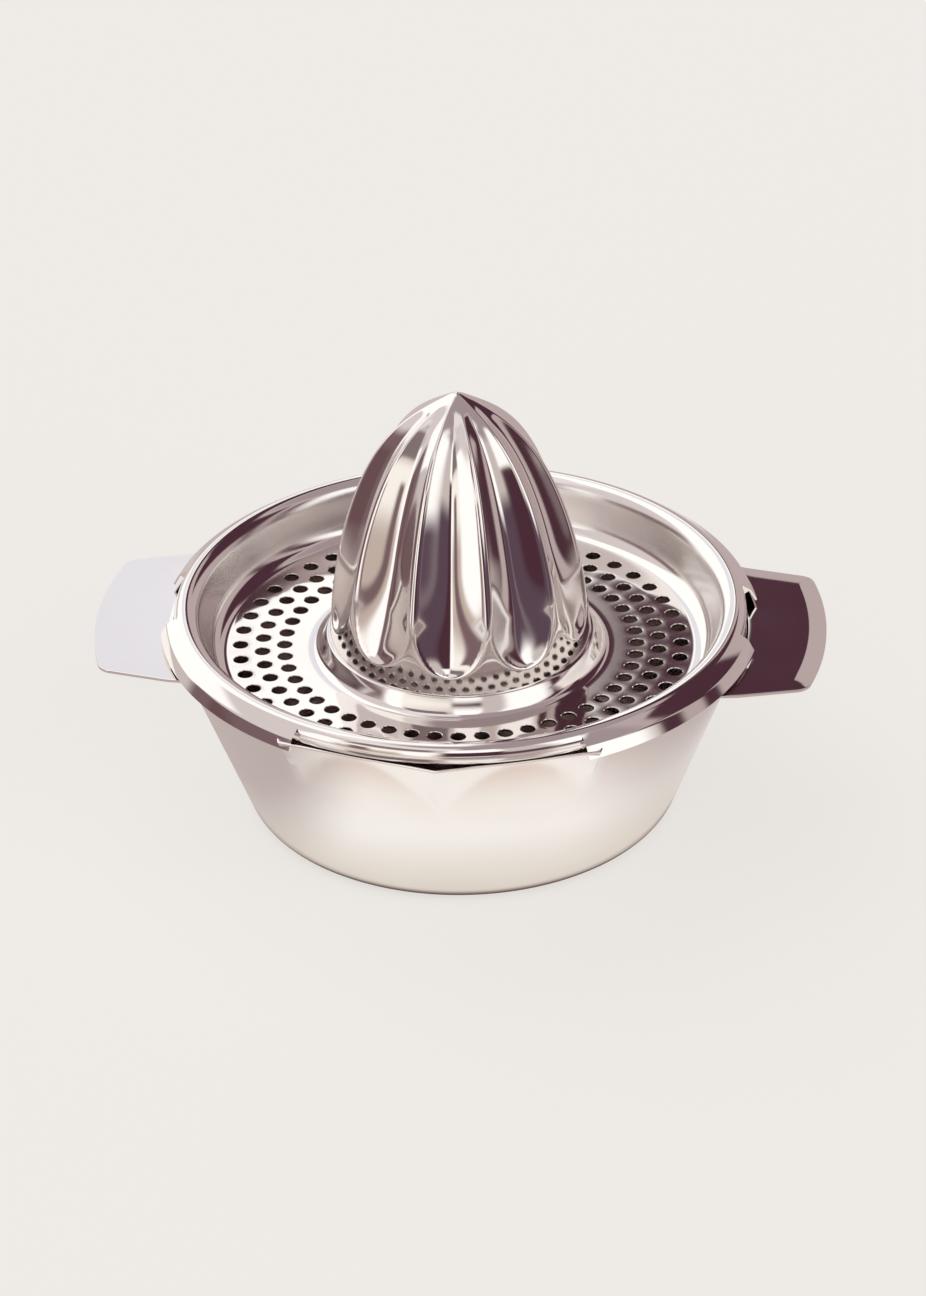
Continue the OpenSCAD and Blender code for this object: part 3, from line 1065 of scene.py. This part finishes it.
studio = {
    "floorSize": 12.0,
    "floorDrop": 0.0001,
    "floorGlow": 0.72,
    "floorColour": linearColour(240, 237, 232),
    "glowColour": linearColour(250, 247, 242),
    # what the steel mirrors of the table, with painted shade and highlights: distance from the axis and
    # colour (a painted contact shadow at the bowl's foot, a painted highlight ring and a painted brownish
    # reflection band further out), then the painted darker sides
    "paintedTableLight": ((0.0542, (120, 102, 98)), (0.0562, (229, 222, 213)), (0.070, (255, 253, 250)),
                   (0.080, (252, 247, 242)), (0.091, (222, 197, 183)), (0.115, (250, 247, 243))),
    "paintedSideShade": linearColour(196, 184, 181),
    "leftSide": (-0.030, -0.066),
    "rightSide": (0.040, 0.092),
    "tableNear": 0.20,
    "tableFar": 0.36,
    "backdrop": linearColour(238, 235, 230),
    "base": linearColour(214, 203, 200),
    "colours": {
        "white": (1.25, 1.24, 1.23, 1),
        "cream": (1.12, 1.08, 1.02, 1),
        "pale": linearColour(246, 241, 241),
        "haze": linearColour(228, 220, 220),
        "lavender": linearColour(246, 247, 255),
        "mauve": linearColour(196, 180, 180),
        "smoke": linearColour(172, 157, 161),
        "beige": linearColour(208, 192, 182),
        "taupe": linearColour(128, 104, 108),
        "stone": linearColour(138, 123, 124),
        "umber": linearColour(112, 86, 88),
        "slate": linearColour(96, 76, 90),
        "plum": linearColour(80, 50, 62),
    },
    # middle turn, half width, lowest and highest lift and softness in degrees, then colour;
    # turn 0 is behind the object
    "panels": (
        (85, 98, 52, 110, 10, "smoke"),
        (-92, 90, 52, 110, 10, "pale"),
        (0, 190, 77, 110, 8, "smoke"),
        (-37.5, 34, 3, 68, 3, "white"),
        (-15.6, 7.4, 12, 50, 0.6, "lavender"),
        (-97, 27, 22, 60, 6, "haze"),
        (-95, 25, -60, 20, 7, "taupe"),
        (-89, 7, -60, 9, 5, "umber"),
        (-151, 28, -60, 29, 9, "beige"),
        (-151, 28, 2, 29, 12, "cream"),
        (-129, 7, -30, 40, 5, "white"),
        (-168, 6, -40, 22, 6, "white"),
        (-146, 4, -60, 16, 4, "taupe"),
        (-154, 18, 31, 53, 4, "stone"),
        (151, 12, -60, 12, 10, "slate"),
        (171, 12, -60, 27, 5, "plum"),
        (170, 12, 28, 58, 5, "white"),
        (118, 22, -60, 6, 10, "slate"),
        (121, 18, 5, 54, 10, "white"),
        (80, 18, -60, 54, 5, "mauve"),
        (72, 5, -60, 50, 4, "plum"),
        (93, 5, -60, 46, 4, "plum"),
        (33, 35, -20, 26, 4, "mauve"),
        (37, 40.5, 25, 50, 3, "plum"),
        (10.5, 7, 22, 37, 1.5, "mauve"),
    ),
}


def buildFloor():
    material = bpy.data.materials.new("paleFloor")
    material.use_nodes = True
    tree = material.node_tree
    tree.nodes.clear()
    nodes = NodeTools(tree)
    place = nodes.objectPlace()
    away = nodes.fromAxis(place)
    aside = nodes.add("ShaderNodeSeparateXYZ", {"Vector": place}).outputs["X"]
    rays = nodes.add("ShaderNodeLightPath").outputs
    # colour: painted shade and highlights of the table for the steel, one pale colour for the camera
    tones = nodes.add("ShaderNodeValToRGB", {"Fac": nodes.calc("DIVIDE", away, studio["tableNear"])})
    stops = tones.color_ramp.elements
    while len(stops) < len(studio["paintedTableLight"]):
        stops.new(1.0)
    for stop, (distance, tone) in zip(stops, studio["paintedTableLight"]):
        stop.position = distance / studio["tableNear"]
        stop.color = linearColour(*tone)
    mirrored = tones.outputs["Color"]
    # painted shade on both sides of the table, seen only in the steel
    for near, far in (studio["leftSide"], studio["rightSide"]):
        mirrored = nodes.mixed(nodes.ramp(aside, near, far), mirrored, studio["paintedSideShade"])
    colour = nodes.mixed(rays["Is Glossy Ray"], studio["glowColour"], mirrored)
    dull = nodes.add("ShaderNodeBsdfDiffuse", {"Color": studio["floorColour"]}).outputs["BSDF"]
    glow = nodes.add("ShaderNodeEmission", {"Color": colour}).outputs["Emission"]
    clear = nodes.add("ShaderNodeBsdfTransparent").outputs["BSDF"]
    # seen directly, the floor is lit evenly and keeps a faint shadow
    seen = nodes.calc("MULTIPLY", rays["Is Camera Ray"], studio["floorGlow"])
    lit = nodes.calc("MAXIMUM", seen, rays["Is Glossy Ray"])
    table = nodes.blended(lit, dull, glow)
    # the steel mirrors only the table top round the object, and beyond it the room
    beyond = nodes.ramp(away, studio["tableNear"], studio["tableFar"])
    beyond = nodes.calc("MULTIPLY", beyond, rays["Is Glossy Ray"])
    nodes.add("ShaderNodeOutputMaterial", {"Surface": nodes.blended(beyond, table, clear)})
    half, drop = studio["floorSize"] / 2, -studio["floorDrop"]
    mesh = bpy.data.meshes.new("floor")
    mesh.from_pydata([(-half, -half, drop), (half, -half, drop), (half, half, drop), (-half, half, drop)],
                     [], [(0, 1, 2, 3)])
    mesh.materials.append(material)
    floor = bpy.data.objects.new("floor", mesh)
    bpy.context.scene.collection.objects.link(floor)


def buildSky():
    world = bpy.data.worlds.new("studioSky")
    world.use_nodes = True
    bpy.context.scene.world = world
    tree = world.node_tree
    nodes = NodeTools(tree)
    calc = nodes.calc
    background = tree.nodes["Background"]

    def passed(value, middle, soft):
        return nodes.ramp(value, middle - soft / 2, middle + soft / 2)

    def notPassed(value, middle, soft):
        return calc("SUBTRACT", 1.0, passed(value, middle, soft))

    direction = nodes.add("ShaderNodeTexCoord").outputs["Generated"]
    axes = nodes.add("ShaderNodeSeparateXYZ", {"Vector": direction}).outputs
    degrees = 180 / math.pi
    turn = calc("MULTIPLY", calc("ARCTAN2", axes["X"], axes["Y"]), degrees)
    lift = calc("MULTIPLY", calc("ARCSINE", axes["Z"]), degrees)
    colour = studio["base"]
    for middle, half, low, high, soft, name in studio["panels"]:
        away = calc("ABSOLUTE", calc("WRAP", calc("SUBTRACT", turn, middle), 180, -180))
        inside = calc("MULTIPLY", notPassed(away, half, soft), passed(lift, low, soft))
        inside = calc("MULTIPLY", inside, notPassed(lift, high, soft))
        colour = nodes.mixed(inside, colour, studio["colours"][name])
    seen = nodes.add("ShaderNodeLightPath").outputs["Is Camera Ray"]
    nodes.link(nodes.mixed(seen, colour, studio["backdrop"]), background.inputs["Color"])
    background.inputs["Strength"].default_value = 1.0


buildFloor()
buildSky()
bpy.context.scene.view_settings.view_transform = "Standard"
print("camera and stage placed")
